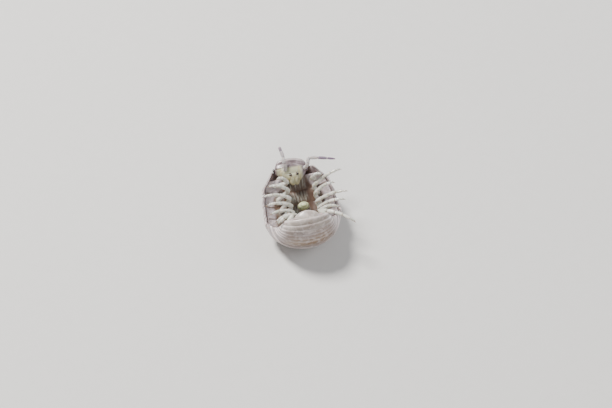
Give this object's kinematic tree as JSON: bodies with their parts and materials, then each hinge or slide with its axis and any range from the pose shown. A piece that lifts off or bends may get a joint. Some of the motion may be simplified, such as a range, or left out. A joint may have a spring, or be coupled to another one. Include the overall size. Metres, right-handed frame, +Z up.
{
  "type": "woodlouse",
  "caption": "Life-size still model of a pale woodlouse lying on its back, half unrolled, with jointed legs and feelers spread over its belly.",
  "frame": {"origin": "on the floor, below the middle of the animal's box", "axes": "+Z up; +Y towards the raised head, -Y towards the curled tail; +X to the right of a viewer who faces +Y"},
  "size_m": [0.0088, 0.0104, 0.0061],
  "materials": {
    "shell": "smooth pale grey-pink shell plates, slightly see-through, satin gloss",
    "flesh": "soft yellow-green white flesh, moist satin",
    "limb": "glassy white jointed limbs, satin gloss",
    "eye": "black, glossy",
    "mandible": "dark brown horn, glossy"
  },
  "bodies": {
    "root": {"segment_1": "shell", "segment_2": "shell", "segment_3": "shell", "segment_4": "shell", "segment_5": "shell", "segment_6": "shell", "segment_7": "shell", "tail_segment_1": "shell", "tail_segment_2": "shell", "tail_segment_3": "shell", "tail_segment_4": "shell", "tail_segment_5": "shell", "head": "shell", "telson": "shell", "mouthparts": "flesh", "belly_swelling": "flesh", "uropod_left": "flesh", "uropod_right": "flesh", "leg_left_1": "limb", "leg_left_2": "limb", "leg_left_3": "limb", "leg_left_4": "limb", "leg_left_5": "limb", "leg_left_6": "limb", "leg_left_7": "limb", "leg_right_1": "limb", "leg_right_2": "limb", "leg_right_3": "limb", "leg_right_4": "limb", "leg_right_5": "limb", "leg_right_6": "limb", "leg_right_7": "limb", "antenna_left": "limb", "antenna_right": "limb", "eye_left": "eye", "eye_right": "eye", "mandible_left": "mandible", "mandible_right": "mandible"}
  },
  "joints": []
}
